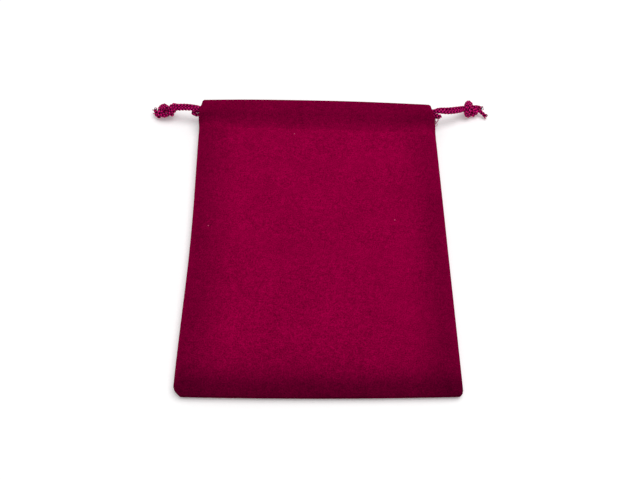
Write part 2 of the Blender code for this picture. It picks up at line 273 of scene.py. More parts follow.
class Nodes:
    """A material's node tree with short calls for the nodes that it needs."""

    def __init__(self, name):
        self.material = bpy.data.materials.new(name)
        self.material.use_nodes = True
        self.tree = self.material.node_tree
        self.shader = self.tree.nodes["Principled BSDF"]
        self.place = self.tree.nodes.new("ShaderNodeTexCoord").outputs["Object"]

    def link(self, source, target):
        self.tree.links.new(source, target)

    def noise(self, scale, detail=2.0, roughness=0.5, distortion=0.0):
        node = self.tree.nodes.new("ShaderNodeTexNoise")
        node.inputs["Scale"].default_value = scale
        node.inputs["Detail"].default_value = detail
        node.inputs["Roughness"].default_value = roughness
        node.inputs["Distortion"].default_value = distortion
        self.link(self.place, node.inputs["Vector"])
        return node.outputs["Fac"]

    def ramp(self, factor, stops):
        """A number through a colour ramp; stops are (place, colour)."""
        node = self.tree.nodes.new("ShaderNodeValToRGB")
        self.link(factor, node.inputs["Fac"])
        while len(node.color_ramp.elements) < len(stops):
            node.color_ramp.elements.new(0.5)
        for element, (place, colour) in zip(node.color_ramp.elements, stops):
            element.position = place
            element.color = (*colour, 1.0)
        return node.outputs["Color"]

    def remap(self, factor, low, high, to_low, to_high):
        node = self.tree.nodes.new("ShaderNodeMapRange")
        self.link(factor, node.inputs["Value"])
        ends = {"From Min": low, "From Max": high, "To Min": to_low, "To Max": to_high}
        for socket, value in ends.items():
            node.inputs[socket].default_value = value
        return node.outputs["Result"]

    def maths(self, operation, a, b):
        node = self.tree.nodes.new("ShaderNodeMath")
        node.operation = operation
        for socket, value in zip(node.inputs, (a, b)):
            if isinstance(value, (int, float)):
                socket.default_value = value
            else:
                self.link(value, socket)
        return node.outputs["Value"]

    def tint(self, colour, factor):
        """A colour times a number."""
        node = self.tree.nodes.new("ShaderNodeVectorMath")
        node.operation = "SCALE"
        self.link(colour, node.inputs["Vector"])
        self.link(factor, node.inputs["Scale"])
        return node.outputs["Vector"]

    def plus(self, colour, more):
        node = self.tree.nodes.new("ShaderNodeVectorMath")
        node.operation = "ADD"
        self.link(colour, node.inputs[0])
        node.inputs[1].default_value = more
        return node.outputs["Vector"]

    def blend(self, factor, a, b):
        node = self.tree.nodes.new("ShaderNodeMix")
        node.data_type = "RGBA"
        self.link(factor, node.inputs["Factor"])
        for socket, value in ((node.inputs["A"], a), (node.inputs["B"], b)):
            if isinstance(value, tuple):
                socket.default_value = (*value, 1.0)
            else:
                self.link(value, socket)
        return node.outputs["Result"]

    def attribute(self, name):
        node = self.tree.nodes.new("ShaderNodeAttribute")
        node.attribute_name = name
        return node.outputs["Fac"]

    def distance(self, centre):
        node = self.tree.nodes.new("ShaderNodeVectorMath")
        node.operation = "DISTANCE"
        self.link(self.place, node.inputs[0])
        node.inputs[1].default_value = centre
        return node.outputs["Value"]

    def bump(self, height, distance, strength=1.0, under=None):
        node = self.tree.nodes.new("ShaderNodeBump")
        node.inputs["Distance"].default_value = distance
        node.inputs["Strength"].default_value = strength
        self.link(height, node.inputs["Height"])
        if under is not None:
            self.link(under, node.inputs["Normal"])
        return node.outputs["Normal"]

    def finish(self, colour, roughness, normal, **uniform):
        self.link(colour, self.shader.inputs["Base Color"])
        self.link(roughness, self.shader.inputs["Roughness"])
        self.link(normal, self.shader.inputs["Normal"])
        for name, value in uniform.items():
            self.shader.inputs[name.replace("_", " ")].default_value = value
        return self.material


# Colours from the foot of the nap to its lit tips, and the least light that comes back from anywhere.
NAP_COLOURS = [(0.30, (0.125, 0.0, 0.0150)), (0.50, (0.258, 0.0, 0.0345)), (0.70, (0.430, 0.0, 0.0630))]
NAP_FLOOR = (0.002, 0.0, 0.0045)
SHEEN_TINT = (0.85, 0.0, 0.16, 1.0)

# Noise in the nap: features per metre, detail, roughness, distortion.
TUFTS = (1900, 2.0, 0.6, 0.0)
CLUMPS = (420, 3.0, 0.6, 0.0)
PATCHES = (70, 3.0, 0.55, 0.4)
BROAD = (16, 2.0, 0.5, 0.0)
TUFT_SHARE, CLUMP_SHARE, PATCH_SHARE, BROAD_SHARE = 0.84, 0.24, 0.12, 0.06

# Specks of lint on the front.
LINT = [(-12.3 * MM, 63.9 * MM, 10.9 * MM), (38.3 * MM, 7.5 * MM, 9.4 * MM), (-54.0 * MM, 4.2 * MM, 9.2 * MM)]
LINT_RADIUS = 0.32 * MM
LINT_COLOUR = (0.50, 0.07, 0.16)


def velour_material():
    """Short upright pile: fine tufts and brushed patches, with painted shade and highlights from the mesh:
    darker along the edges.
    """
    nodes = Nodes("velour")
    tufts, clumps, patches, broad = (nodes.noise(*kind) for kind in (TUFTS, CLUMPS, PATCHES, BROAD))
    grain = nodes.remap(tufts, 0.0, 1.0, 0.5 - TUFT_SHARE / 2, 0.5 + TUFT_SHARE / 2)
    for noise, share in ((clumps, CLUMP_SHARE), (patches, PATCH_SHARE), (broad, BROAD_SHARE)):
        grain = nodes.maths("ADD", grain, nodes.remap(noise, 0.0, 1.0, -share / 2, share / 2))
    # painted shade and highlights, stored per point on the cloth
    colour = nodes.tint(nodes.ramp(grain, NAP_COLOURS), nodes.attribute("cloth_painted_light"))
    colour = nodes.plus(colour, NAP_FLOOR)
    for centre in LINT:
        inside = nodes.maths("LESS_THAN", nodes.distance(centre), LINT_RADIUS)
        colour = nodes.blend(inside, colour, LINT_COLOUR)
    roughness = nodes.remap(clumps, 0.3, 0.7, 0.82, 0.98)
    normal = nodes.bump(tufts, 0.25 * MM, 0.8)
    normal = nodes.bump(clumps, 0.35 * MM, 0.5, normal)
    return nodes.finish(colour, roughness, normal, Specular_IOR_Level=0.0, Sheen_Weight=0.12,
                        Sheen_Roughness=0.45, Sheen_Tint=SHEEN_TINT)


def yarn_material(name, colours, gloss, scale, shine):
    """Filament yarn: fine streaks from dark to light with a soft shine. scale is in features per metre."""
    nodes = Nodes(name)
    filaments = nodes.noise(scale, 3.0, 0.6)
    stretch = nodes.noise(scale / 5, 2.0, 0.5)
    colour = nodes.ramp(nodes.maths("ADD", nodes.maths("MULTIPLY", filaments, 0.6),
                                    nodes.maths("MULTIPLY", stretch, 0.4)),
                        list(zip((0.34, 0.5, 0.66), colours)))
    # painted shade and highlights per ring, from the mesh
    colour = nodes.tint(colour, nodes.attribute("painted_light"))
    roughness = nodes.remap(filaments, 0.3, 0.7, gloss, gloss + 0.2)
    normal = nodes.bump(filaments, 0.08 * MM, 0.6)
    return nodes.finish(colour, roughness, normal, Specular_IOR_Level=shine,
                        Specular_Tint=(1.0, 0.35, 0.65, 1.0), Sheen_Weight=shine / 4,
                        Sheen_Roughness=0.3, Sheen_Tint=(1.0, 0.2, 0.5, 1.0))


VELOUR = velour_material()
YARN = yarn_material("cord_yarn", [(0.14, 0.0, 0.034), (0.26, 0.001, 0.066), (0.42, 0.004, 0.115)],
                     gloss=0.42, scale=2600, shine=0.12)
# painted shade: the core is near black, standing in for the shade between the yarns
SHADE_CORE = yarn_material("cord_core_painted_shade", [(0.012, 0.0, 0.003), (0.020, 0.0, 0.005), (0.03, 0.0, 0.008)],
                     gloss=0.8, scale=2600, shine=0.0)
SEWING = yarn_material("sewing_thread", [(0.20, 0.0, 0.032), (0.27, 0.0, 0.045), (0.36, 0.0, 0.065)],
                       gloss=0.6, scale=3500, shine=0.0)


# ---------------------------------------------------------------- cloth

# Rows and columns of the cloth's grid.
ROLL_STEPS = 12
HALF_STEPS = 52
BODY_STEPS = 130
CASING_STEPS = 16
FOLD_STEPS = 14
FLAP_STEPS = 18
NEAR_STITCH = np.array([0.0, 0.35, 0.7, 1.05, 1.4, 1.8, 2.3, 3.0]) * MM   # rows beside the stitch line

# Slow waves in the cloth: share, radians per metre in X and in Y, phase.
WAVES = [(0.45, 61, 38, 0.6), (0.30, -47, 83, 2.1), (0.25, 118, 21, 4.0)]


def waves(x, y):
    """Slow unevenness of cloth that was folded and laid out again, about -1 to 1."""
    return sum(share * np.sin(in_x * x + in_y * y + phase) for share, in_x, in_y, phase in WAVES)


def sewn_height(x, y, pull):
    """How the cloth lies near the stitch line: the groove and the little puckers beside it."""
    off = y - stitch_line(x)
    beat = 0.5 + 0.5 * np.cos(2 * np.pi * x / STITCH)
    groove = GROOVE * np.exp(-(off / GROOVE_WIDTH) ** 2) * (0.75 + 0.25 * beat)
    pucker = np.sin(x * 870 + 1.3 * np.sin(x * 140)) * np.exp(-np.abs(off) / PUCKER_WIDTH)
    return pull * (-groove + PUCKER * pucker)


def panel_rows(x, roll_width):
    """Rows over the columns x: Y, rise out of the bottom roll, place from outer layer to flap, and part."""
    low = bottom_seam(x) + CLOTH / 2 + SEAM_IN
    stitch = stitch_line(x)
    middle = mouth_fold(x) - CLOTH / 2 - FOLD_RADIUS
    rows = []
    for angle in np.linspace(0, np.pi / 2, ROLL_STEPS + 1):
        rows.append((low + roll_width * (1 - np.cos(angle)), np.sin(angle), 0.0, "body"))
    start = low + roll_width
    end = stitch - NEAR_STITCH[-1]
    for t in np.linspace(0, 1, BODY_STEPS + 1)[1:]:
        rows.append((mix(start, end, t), 1.0, 0.0, "body"))
    for below in NEAR_STITCH[-2::-1]:
        rows.append((stitch - below, 1.0, 0.0, "body"))
    for above in NEAR_STITCH[1:]:
        rows.append((stitch + above, 1.0, 0.0, "casing"))
    start = stitch + NEAR_STITCH[-1]
    for t in np.linspace(0, 1, CASING_STEPS + 1)[1:]:
        rows.append((mix(start, middle, t), 1.0, 0.0, "casing"))
    for angle in np.linspace(0, np.pi, FOLD_STEPS + 1)[1:]:
        rows.append((middle + FOLD_RADIUS * np.sin(angle), 1.0, (1 - math.cos(angle)) / 2, "fold"))
    for t in np.linspace(0, 1, FLAP_STEPS + 1)[1:]:
        rows.append((mix(middle, stitch - RAW_EDGE, t), 1.0, 1.0, "flap"))
    return rows


def corner_pull(side, up):
    """How far the end of the mouth is drawn in, at a height above the stitch line."""
    if side < 0:
        return MOUTH_CORNER_PULL * smooth((up - SIDE_SLIT) / (CASING_DEPTH - SIDE_SLIT))
    share = np.clip((up + RIGHT_PULL_START) / (CASING_DEPTH + RIGHT_PULL_START), 0, 1)
    return RIGHT_CORNER_PULL * share ** RIGHT_PULL_POWER


def edge_strips(edge, start_angle, side, out):
    """The cloth past its outermost line: round the turn, then back in as the seam allowance."""
    along = unit(np.gradient(edge[:, :2], axis=0))
    outward = np.stack([along[:, 1], -along[:, 0]], 1) * -side
    outward[-1] = (0.0, -1.0)
    strips = []
    for share in (0.25, 0.5, 0.75, 1.0):
        angle = mix(start_angle, np.pi, share)
        reach = TURN_RADIUS * (np.sin(angle) - np.sin(start_angle))
        sink = TURN_RADIUS * (np.cos(start_angle) - np.cos(angle))
        strips.append(np.column_stack([edge[:, :2] + outward * reach[:, None], edge[:, 2] - out * sink]))
    width = SEAM_ALLOWANCE * mix(OPEN_END_SHARE, 1.0, start_angle * 2 / np.pi)
    turned = strips[-1]
    for inwards in (0.35, 1.0):
        tucked = turned.copy()
        tucked[:, :2] -= outward * width[:, None] * inwards
        tucked[:, 0] = np.where(side * tucked[:, 0] < 0, 0.0, tucked[:, 0])
        strips.append(tucked)
    return strips


def cloth_half(name, side, is_front):
    """Half of a cut of velour, from the middle of the pouch to one side seam, with its turned edges."""
    roll_width = EDGE_ROLL if is_front else BACK_ROLL
    roll = np.linspace(0, np.pi / 2, ROLL_STEPS + 1)
    offset = roll_width * (1 - np.cos(roll))
    rise = np.concatenate([np.sin(roll), np.ones(HALF_STEPS)])
    inner = np.linspace(0, 1, HALF_STEPS + 1)[1:]
    out = 1 if is_front else -1
    edge_z = SEAM_SAG + out * (CLOTH / 2 + LAYER_GAP + TURN_RADIUS)

    def columns(y, inset):
        edge = side_seam(side, y) - side * (CLOTH / 2 + inset)
        if np.ndim(edge) == 0:
            edge = np.full(len(rise), edge)
        rolled = edge[: ROLL_STEPS + 1] - side * offset
        flat = mix(edge[ROLL_STEPS + 1:] - side * roll_width, 0.0, inner)
        return np.concatenate([rolled, flat])

    guide = columns(0.0, 0.0)
    rows = panel_rows(guide, roll_width)
    grid, turn = [], []
    for y, row_rise, between, part in rows:
        x = columns(y, corner_pull(side, y - stitch_line(0.0)))
        stitch = stitch_line(x)
        if part == "body":
            x, y = round_corner(side, x, y)
            towards_stitch = (y + HALF_LENGTH / 4) / (stitch + HALF_LENGTH / 4)
            top = mix(FRONT_BODY_Z, FRONT_STITCH_Z, smooth(towards_stitch)) if is_front else BACK_Z
            held = row_rise * rise
            z = mix(edge_z, top, held)
            turned = np.ones_like(x)
        else:
            channel = mouth_fold(x) - LOWER_LANE - CORD
            lift = mix(STITCH_LIFT, CASING_LIFT, smooth((y - stitch) / (channel - stitch)))
            outer, flap = (FRONT_FLAP_Z + lift, FRONT_FLAP_Z) if is_front else (BACK_Z, BACK_Z + lift)
            turned = 1 - smooth((y - stitch) / SIDE_SLIT)
            z = mix(mix(outer, edge_z, turned * (1 - rise)), flap, between)
            held = rise
        if is_front:
            loose = smooth(held) * (1 - between)
            z = z + loose * SWELL * waves(x, y) + sewn_height(x, y, loose)
        grid.append(np.stack([x, y, z + np.zeros_like(x)], 1))
        turn.append(turned[0])
    grid = np.array(grid)
    row_count, column_count = grid.shape[:2]

    fold_start = next(i for i, row in enumerate(rows) if row[3] == "fold")
    flap_from = fold_start + FOLD_STEPS // 2
    faces = []
    for face in grid_faces(row_count, column_count):
        if min(face) // column_count >= flap_from:
            if np.abs(guide[face[0] % column_count]) > HALF_WIDTH - FLAP_CUT_BACK:
                continue
        faces.append(face)

    border = [(row, 0) for row in range(fold_start, 0, -1)] + [(0, column) for column in range(column_count)]
    edge = np.array([grid[place] for place in border])
    start_angle = np.array([turn[row] for row, column in border]) * np.pi / 2
    points = [grid.reshape(-1, 3)]
    previous = np.array([row * column_count + column for row, column in border])
    for strip in edge_strips(edge, start_angle, side, out):
        first = sum(len(part) for part in points)
        current = np.arange(first, first + len(strip))
        faces += np.stack([previous[:-1], previous[1:], current[1:], current[:-1]], 1).tolist()
        points.append(strip)
        previous = current

    made = add_mesh(name, np.vstack(points), faces, VELOUR)
    return thicken(made)


def round_corner(side, x, y):
    """Moves the points of a bottom corner in, so that it is cut off round."""
    from_side = (side_seam(side, y) - x) * side
    cut = LEFT_CORNER_CUT if side < 0 else RIGHT_CORNER_CUT
    short = np.maximum(0.0, cut - from_side - (y - bottom_seam(x)))
    return x - side * short / 2, y + short / 2


def thicken(made):
    """Gives the cloth its thickness, drops unused points and stores its painted shade and highlights."""
    cloth = bmesh.new()
    cloth.from_mesh(made.data)
    bmesh.ops.delete(cloth, geom=[v for v in cloth.verts if not v.link_faces], context="VERTS")
    bmesh.ops.remove_doubles(cloth, verts=cloth.verts, dist=1e-6)
    bmesh.ops.recalc_face_normals(cloth, faces=cloth.faces)
    cloth.to_mesh(made.data)
    cloth.free()
    solid = made.modifiers.new("cloth", "SOLIDIFY")
    solid.thickness = CLOTH
    solid.offset = 0.0
    shaped = bpy.data.meshes.new_from_object(made.evaluated_get(bpy.context.evaluated_depsgraph_get()))
    made.modifiers.clear()
    made.data = shaped
    shaped.name = made.name
    shaped.shade_smooth()
    shaped.set_sharp_from_angle(angle=math.radians(60))
    place = np.array([v.co for v in shaped.vertices])
    # painted shade and highlights per point
    store(made, "cloth_painted_light", cloth_painted_light_map(place))
    return made


# Painted shade and highlights of the velour, as a factor on its colour. It is drawn darker towards the seams,
# on the casing and on the bottom's roll, and lighter along the edges, the stitching and the fold.
PAINTED_LIGHT_LEVEL = 1.06             # a last factor over all of it
OPEN_PAINTED_LEVEL = 0.94              # in the open
LEFT_SHADE = 0.34            # painted shade: the panel is drawn darker by this towards the left seam
RIGHT_SHADE = (0.29, 0.42)   # and by this towards the right one, at the mouth and at the bottom
RIGHT_SHADE_LENGTH = 150 * MM
SIDE_SHADE_START = 3 * MM
SIDE_SHADE_WIDTH = 22 * MM
SIDE_SHADE_REGROWTH = 24 * MM    # half of the side shade is lost at the bottom, over this length
LEFT_RIM_HIGHLIGHT, RIGHT_RIM_HIGHLIGHT = 0.22, 0.13     # painted highlight: the turned edge itself is drawn lighter
RIM_WIDTH = 1.7 * MM
MIDDLE_PAINTED_SHADE = 0.09                # painted shade: the panel is drawn this much darker around this patch
HOLLOW_CENTRE = (14 * MM, -34 * MM)
HOLLOW_SIZE = (40 * MM, 36 * MM)
BOTTOM_SHADE = 0.60          # painted shade: drawn darker by this on the bottom's roll
BOTTOM_START = 4.8 * MM
BOTTOM_WIDTH = 9.5 * MM
BOTTOM_POWER = 1.1
STITCH_HIGHLIGHT = 0.16          # painted highlight: drawn lighter along the stitching
STITCH_HIGHLIGHT_WIDTH = 0.55 * MM
# painted shade: the casing is drawn at this level, darker than the open panel
CASING_PAINTED_SHADE = 0.60
CASING_EDGE = 0.1 * MM       # the casing's shade starts this far below the stitching
CASING_FADE = 1.2 * MM
CREASE_SHADE = (0.05, 0.13)        # painted shade in the crease where the casing sinks below the cords: everywhere, and more beside the seams
CREASE_PLACE = 11.5 * MM     # below the fold
CREASE_WIDTH = 4 * MM
CREASE_SIDE_WIDTH = 26 * MM
ABOVE_STITCH_LIGHT = (0.25, 3.2 * MM)      # painted light: lighter by this just above the stitching, fading over this length
FOLD_HIGHLIGHT = (0.18, 1.5 * MM)          # painted highlight: lighter by this at the fold, fading over this length
CORD_RIDGE_HIGHLIGHT = 0.04            # painted highlight: lighter by this over the lower cord
CORD_RIDGE_PLACE = 8.5 * MM  # below the fold
CORD_RIDGE_WIDTH = 1.2 * MM


def hill(distance, width):
    return np.exp(-((distance / width) ** 2))


def cloth_painted_light_map(place):
    """Painted shade and highlights at each point of the cloth, as a factor on its colour."""
    x, y = place[:, 0], place[:, 1]
    from_side = np.minimum(side_seam(1, y) - x, x - side_seam(-1, y))
    from_bottom = y - bottom_seam(x)
    above_stitch = y - stitch_line(x)
    from_fold = mouth_fold(x) - y
    on_right = x > 0
    right_shade = mix(*RIGHT_SHADE, smooth(1 - from_bottom / RIGHT_SHADE_LENGTH))
    side_shade = np.where(on_right, right_shade, LEFT_SHADE)
    side_shade *= 0.5 + 0.5 * smooth(from_bottom / SIDE_SHADE_REGROWTH)
    shade = OPEN_PAINTED_LEVEL - side_shade * (1 - smooth((from_side - SIDE_SHADE_START) / SIDE_SHADE_WIDTH))
    shade += np.where(on_right, RIGHT_RIM_HIGHLIGHT, LEFT_RIM_HIGHLIGHT) * np.exp(-np.maximum(from_side, 0) / RIM_WIDTH)
    middle_shade = hill(x - HOLLOW_CENTRE[0], HOLLOW_SIZE[0]) * hill(y - HOLLOW_CENTRE[1], HOLLOW_SIZE[1])
    shade *= 1 - MIDDLE_PAINTED_SHADE * middle_shade
    from_roll = np.maximum(0, from_bottom - BOTTOM_START)
    shade *= 1 - BOTTOM_SHADE * np.exp(-(from_roll / BOTTOM_WIDTH) ** BOTTOM_POWER)
    shade += STITCH_HIGHLIGHT * hill(above_stitch, STITCH_HIGHLIGHT_WIDTH)
    near_side = 1 - smooth((from_side - SIDE_SHADE_START) / CREASE_SIDE_WIDTH)
    casing = CASING_PAINTED_SHADE - (CREASE_SHADE[0] + CREASE_SHADE[1] * near_side) * hill(from_fold - CREASE_PLACE, CREASE_WIDTH)
    casing += ABOVE_STITCH_LIGHT[0] * np.exp(-np.maximum(above_stitch, 0) / ABOVE_STITCH_LIGHT[1])
    casing += FOLD_HIGHLIGHT[0] * np.exp(-from_fold / FOLD_HIGHLIGHT[1])
    casing += CORD_RIDGE_HIGHLIGHT * hill(from_fold - CORD_RIDGE_PLACE, CORD_RIDGE_WIDTH)
    on_casing = smooth((above_stitch + CASING_EDGE) / CASING_FADE)
    return PAINTED_LIGHT_LEVEL * mix(shade, casing, on_casing)


def drag(piece):
    """Bakes the piece's transform into its mesh."""
    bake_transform(piece)


for panel, is_front in (("front", True), ("back", False)):
    for word, side in SIDES.items():
        half = cloth_half(f"{panel}_cloth_{word}", side, is_front)
        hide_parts(f"{panel}_panel")
        drag(half)


# ---------------------------------------------------------------- stitching

STITCH_POINTS = 9
STITCH_GAP = 0.05            # of a stitch's length, left at each of its ends
HEM_END = 1.5 * MM           # the hem's stitches stop this far before the side's roll
NEEDLE_DIP = -0.25 * MM      # how deep a stitch starts and ends in the cloth
OUTER_ARCH = 0.13 * MM       # and how far its middle stands above the groove, outside
INNER_ARCH = 0.10 * MM       # and inside
SEAM_POINTS = 8              # to a stitch of the seam
SEAM_END = 1 * MM            # its side part stops this far from the stitch line and from the corner
SEAM_DEPTH = (1.05 * MM, 0.62 * MM)  # of a seam stitch inside the seam line, at its ends and in its middle


def stitch_arch(points):
    return np.sin(np.linspace(0, np.pi, points)) ** 0.6


def hem_stitches(name, side, is_front):
    """A row of lockstitches across the casing: one thread on the outer face, one on the flap."""
    row = Builder()
    count = int((HALF_WIDTH - EDGE_ROLL - HEM_END) / STITCH)
    share = np.linspace(0, 1, STITCH_POINTS)
    outer = mix(NEEDLE_DIP, OUTER_ARCH, stitch_arch(STITCH_POINTS))
    inner = mix(NEEDLE_DIP, INNER_ARCH, stitch_arch(STITCH_POINTS))
    for index in range(count):
        x = side * STITCH * mix(index, index + 1, mix(STITCH_GAP, 1 - STITCH_GAP, share))
        y = stitch_line(x)
        if is_front:
            heights = (FRONT_STITCH_Z + CLOTH / 2 - GROOVE + SWELL * waves(x, y) + outer,
                       FRONT_FLAP_Z - CLOTH / 2 - inner)
        else:
            heights = (np.full(STITCH_POINTS, THREAD / 2 + 0.02 * MM),
                       BACK_Z + STITCH_LIFT + CLOTH / 2 + inner)
        for z in heights:
            row.add_tube(np.stack([x, y, z], 1), THREAD / 2, 6)
    return row.finish(name, SEWING)


def seam_stitches(name, side):
    """The seam's thread, which shows as small dashes in the groove between the two cuts."""
    row = Builder()
    top = min(stitch_line(-HALF_WIDTH), stitch_line(HALF_WIDTH)) - SEAM_END
    heights = np.linspace(top, -HALF_LENGTH + LEFT_CORNER_CUT + SEAM_END, 200)
    x = np.linspace(side * (HALF_WIDTH - LEFT_CORNER_CUT), 0.0, 90)
    path = np.vstack([np.stack([side_seam(side, heights), heights], 1),
                      np.stack([x, bottom_seam(x) + SEAM_IN], 1)])
    path = np.column_stack([path, np.full(len(path), SEAM_SAG)])
    count = int(lengths_along(path)[-1] / (STITCH / SEAM_POINTS))
    path = resample(path, count)
    along = unit(np.gradient(path, axis=0))
    inward = unit(np.cross(along, [0, 0, 1.0]))
    inward *= np.sign((inward[:, :2] * -path[:, :2]).sum(1))[:, None]
    depth = mix(*SEAM_DEPTH, stitch_arch(SEAM_POINTS))[:, None]
    for start in range(0, count - SEAM_POINTS, SEAM_POINTS):
        part = slice(start, start + SEAM_POINTS)
        row.add_tube(path[part] + inward[part] * depth, THREAD / 2, 5)
    return row.finish(name, SEWING)


for word, side in SIDES.items():
    for panel, is_front in (("front", True), ("back", False)):
        stitches = hem_stitches(f"{panel}_hem_stitches_{word}", side, is_front)
        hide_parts(f"{panel}_hem_thread")
        drag(stitches)
    stitches = seam_stitches(f"seam_stitches_{word}", side)
    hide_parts("seam_thread")
    drag(stitches)


# Points, in mm, of a few threads that have come loose at the top of the right side seam.
LOOSE_THREADS = [
    [(62.0, 81.9, 6.4), (64.4, 81.5, 6.0), (65.3, 80.1, 5.0), (64.6, 78.9, 4.2), (63.4, 79.5, 4.4)],
    [(62.2, 80.3, 5.4), (64.0, 81.2, 5.6), (65.6, 80.7, 4.8), (65.2, 79.3, 4.0), (63.8, 78.1, 3.6)],
    [(62.4, 78.9, 4.6), (64.2, 78.5, 4.4), (64.9, 77.3, 3.4), (63.9, 76.7, 2.8)],
    [(62.0, 82.7, 6.8), (63.8, 80.1, 5.2), (64.2, 77.5, 3.4)],
]
LOOSE_RADIUS = 0.13 * MM
LOOSE_PAINTED_HIGHLIGHT = 1.8              # painted highlight: they are drawn lighter than the cord, as they catch more light
strays = Builder()
for path in LOOSE_THREADS:
    strays.add_tube(smooth_curve(np.array(path) * MM, 8), LOOSE_RADIUS, 6, painted_light=LOOSE_PAINTED_HIGHLIGHT)
loose_threads = strays.finish("loose_threads", YARN)
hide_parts("seam_thread")
drag(loose_threads)


# ---------------------------------------------------------------- cords

YARNS = 3                    # in each direction of the braid
LAY = 5.4 * MM               # length in which a yarn goes once round the cord
YARN_WIDTH = 0.76 * MM
YARN_THICKNESS = 0.44 * MM
BRAID_WAVE = 0.17 * MM       # how far a yarn goes in and out as it passes the others
BRAID_RADIUS = CORD / 2 - YARN_THICKNESS / 2 - BRAID_WAVE + 0.06 * MM
BRAID_PAINTED_LIGHT = (0.04, 3.24)     # painted shade and highlight: how light a yarn is drawn where it passes under the others and over them
BRAID_PAINTED_LIGHT_POWER = 3
YARN_SWELL = (0.82, 0.18)    # of its width everywhere, and more or less of it over and under the others
FRAY_LENGTH = 2.0 * MM       # at a cut end the yarns come apart over this length
FRAY_SPREAD = 0.45 * MM
FRAY_THIN = 0.3              # and lose this much of their width
CORE_RADIUS = BRAID_RADIUS - 0.10 * MM
CORE_INSET = 3               # rings that the core stops before a cut end
RING = 0.2 * MM              # length of cord between two rings of the mesh
ROUTE_STEPS = 10             # between two points of the route, before it is evened out
ROUTE_EASE = 6               # rounds of smoothing
LANE_END = 16 * MM           # the straight part in the casing stops this far before the side seam
LANE_POINTS = 17
EXIT_OUT = 2                 # mm; a free strand starts at the first point nearer to the side than this

# Points of the cords at the sides: out from the side, below the mouth line, height, in mm.
LEFT_FRONT = [(12.4, 4.1, 8.4), (8.6, 4.5, 9.2), (4.8, 5.0, 9.6), (0.5, 5.2, 10.2),
              (-8.0, LOWER_LANE / MM, FRONT_CORD_Z / MM)]
LEFT_BACK = [(-11.5, LOWER_LANE / MM, 2.9), (-7.0, LOWER_LANE / MM, 5.6), (-3.4, 4.3, 7.8),
             (0.5, 3.2, 8.9), (4.8, 2.8, 9.5), (8.6, 2.4, 9.4), (12.4, 2.0, 8.8)]
RIGHT_FRONT = [(13.6, -1.0, 7.2), (7.0, 2.0, 9.0), (1.0, UPPER_LANE / MM + 0.2, 10.0),
               (-8.0, UPPER_LANE / MM, FRONT_CORD_Z / MM)]
RIGHT_BACK = [(-11.5, UPPER_LANE / MM, 2.9), (-7.0, UPPER_LANE / MM, 5.2), (-3.4, 1.9, 7.4),
              (1.0, 0.2, 8.8), (7.0, -0.4, 8.9), (13.6, -3.2, 7.2)]
LEFT_SIDE_BIGHT = [(-12.5, UPPER_LANE / MM, 9.7), (-7.5, UPPER_LANE / MM, 8.4), (-2.5, 4.2, 7.6),
                   (2.3, 4.9, 7.8), (4.2, 5.2, 6.8), (2.7, 5.4, 5.7), (0.0, 5.0, 5.2),
                   (-2.8, 4.4, 4.4), (-6.0, 3.2, 2.9), (-9.5, UPPER_LANE / MM, BACK_CORD_Z / MM)]
RIGHT_SIDE_BIGHT = [(-3.0, LOWER_LANE / MM, FRONT_CORD_Z / MM), (0.6, LOWER_LANE / MM + 0.2, 9.8),
                    (2.3, LOWER_LANE / MM, 8.6), (0.9, 4.4, 7.6), (-1.4, 4.1, 7.4), (-3.8, 4.5, 6.4),
                    (-7.5, LOWER_LANE / MM, 4.9), (-12.5, LOWER_LANE / MM, 2.9)]

# An overhand knot before it is pulled tight, in cord diameters: it enters at -X and leaves at +X.
OVERHAND = np.array([(-9, 0, 0), (-7, 0, 0), (-3.1, 0, -1.6), (1.7, 0.2, 1.6), (5.6, 3.7, -1.6),
                     (3.4, 8.5, 0), (-1.7, 9.0, 0), (-5.1, 5.1, 0.8), (-3.1, 0, 1.6), (-0.7, -3.1, 0),
                     (1.5, -2.0, -1.1), (1.7, 0.2, -1.6), (2.7, 2.7, 0), (5.6, 4.1, 1.6), (7, 0.8, 0.3),
                     (9, 0, 0)])


STRAND_OFFSET = 0.55         # of each strand from the knot's middle line, in cord diameters
TIGHT_SPACING = 0.05         # the beads are drawn this close together, in cord diameters
NO_TOUCH = 1.5               # beads of one strand nearer than this along it don't push each other apart


